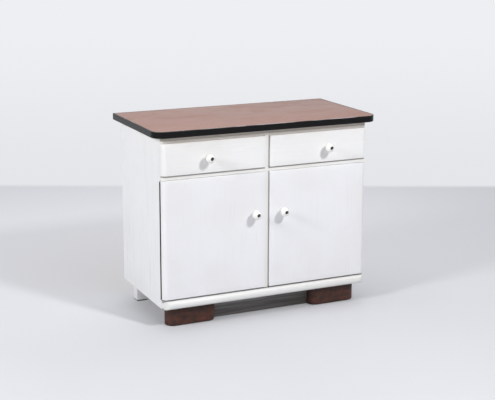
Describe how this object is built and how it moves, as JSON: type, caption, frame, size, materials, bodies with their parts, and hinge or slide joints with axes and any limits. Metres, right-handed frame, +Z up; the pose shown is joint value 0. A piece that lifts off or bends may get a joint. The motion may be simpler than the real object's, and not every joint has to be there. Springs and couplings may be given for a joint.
{
  "type": "sideboard",
  "caption": "Low wooden sideboard with drawers over hinged doors, a linoleum worktop with a dark rounded edge, ball knobs, block feet in front and posts behind.",
  "frame": {"origin": "on the floor under the middle of the whole object, knobs included", "axes": "+X to the right seen from the front, +Y to the back, +Z up"},
  "size_m": [1, 0.5336, 0.818],
  "materials": {
    "white_paint": "brushed white gloss paint on wood",
    "black_edge": "black lacquered wood edging",
    "linoleum": "matt reddish brown linoleum",
    "brown_wood": "dark brown stained wood",
    "dark_board": "dark stained board",
    "bare_wood": "bare planed wood",
    "plywood": "plywood",
    "steel": "plain steel",
    "dark_steel": "darkened steel",
    "knob_white": "glossy white",
    "felt": "black felt"
  },
  "bodies": {
    "root": {"top_core": "bare_wood", "top_linoleum": "linoleum", "top_edge_band_front": "black_edge", "top_edge_band_back": "black_edge", "side_panel_left": "white_paint", "side_panel_right": "white_paint", "bottom_panel": "white_paint", "back_panel": "plywood", "back_panel_screws": "steel", "front_bottom_rail": "white_paint", "front_beads": "white_paint", "front_mid_rail": "white_paint", "front_top_rail": "white_paint", "centre_stile_upper": "white_paint", "centre_stile_lower": "white_paint", "centre_partition": "white_paint", "rear_top_rails": "bare_wood", "corner_blocks": "bare_wood", "shelf_left": "white_paint", "shelf_right": "white_paint", "shelf_pegs": "bare_wood", "drawer_runners": "bare_wood", "drawer_kickers": "bare_wood", "drawer_stops": "bare_wood", "front_foot_left": "brown_wood", "front_foot_right": "brown_wood", "kick_board": "dark_board", "rear_leg_left": "white_paint", "rear_leg_right": "white_paint", "rear_leg_pads": "felt", "hinge_upper_left": "white_paint", "hinge_upper_right": "white_paint", "hinge_lower_left": "steel", "hinge_lower_right": "steel", "hinge_screws": "steel", "door_catches": "steel"},
    "drawer_left": {"drawer_left_front": "white_paint", "drawer_left_side_inner": "bare_wood", "drawer_left_side_outer": "bare_wood", "drawer_left_back": "bare_wood", "drawer_left_bottom": "plywood", "drawer_left_knob": "knob_white", "drawer_left_knob_screw": "dark_steel"},
    "drawer_right": {"drawer_right_front": "white_paint", "drawer_right_side_inner": "bare_wood", "drawer_right_side_outer": "bare_wood", "drawer_right_back": "bare_wood", "drawer_right_bottom": "plywood", "drawer_right_knob": "knob_white", "drawer_right_knob_screw": "dark_steel"},
    "door_left": {"door_left_panel": "white_paint", "door_left_hinge_bushes": "steel", "door_left_strike": "steel", "door_left_knob": "knob_white", "door_left_knob_screw": "dark_steel"},
    "door_right": {"door_right_panel": "white_paint", "door_right_hinge_bushes": "steel", "door_right_strike": "steel", "door_right_knob": "knob_white", "door_right_knob_screw": "dark_steel"}
  },
  "joints": [
    {"name": "drawer_left_slide", "type": "slide", "parent": "root", "child": "drawer_left", "axis": [0, -1, 0], "range_m": [0, 0.3]},
    {"name": "door_left_hinge", "type": "hinge", "parent": "root", "child": "door_left", "pos_m": [-0.4535, -0.20415, 0.36915], "axis": [0, 0, -1], "range_deg": [0, 115]},
    {"name": "drawer_right_slide", "type": "slide", "parent": "root", "child": "drawer_right", "axis": [0, -1, 0], "range_m": [0, 0.3]},
    {"name": "door_right_hinge", "type": "hinge", "parent": "root", "child": "door_right", "pos_m": [0.4535, -0.20415, 0.36915], "axis": [0, 0, 1], "range_deg": [0, 115]}
  ]
}
